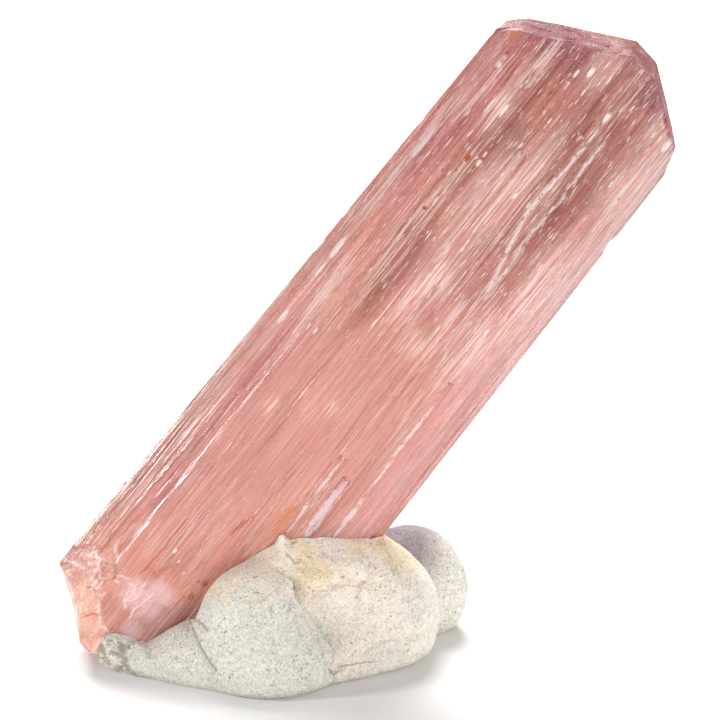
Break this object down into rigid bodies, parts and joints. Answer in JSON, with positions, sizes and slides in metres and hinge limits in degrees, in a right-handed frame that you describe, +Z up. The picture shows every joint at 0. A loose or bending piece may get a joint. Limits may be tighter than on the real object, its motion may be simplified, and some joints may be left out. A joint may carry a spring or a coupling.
{
  "type": "spodumene crystal",
  "caption": "Flat, striated pink spodumene blade with a roof-shaped top, standing at a slant in a kneaded mound of putty.",
  "frame": {"origin": "middle of the footprint of both pieces, on the floor", "axes": "+Z up, +X the way the blade leans, the blade's broad front face looks along -Y and leans back a little"},
  "size_m": [0.0898, 0.04, 0.0929],
  "materials": {
    "crystal": "glassy on the cleavage faces, silky along the striations",
    "putty": "dull, kneaded by hand"
  },
  "bodies": {
    "root": {"crystal": "crystal", "putty_mound": "putty"}
  },
  "joints": []
}
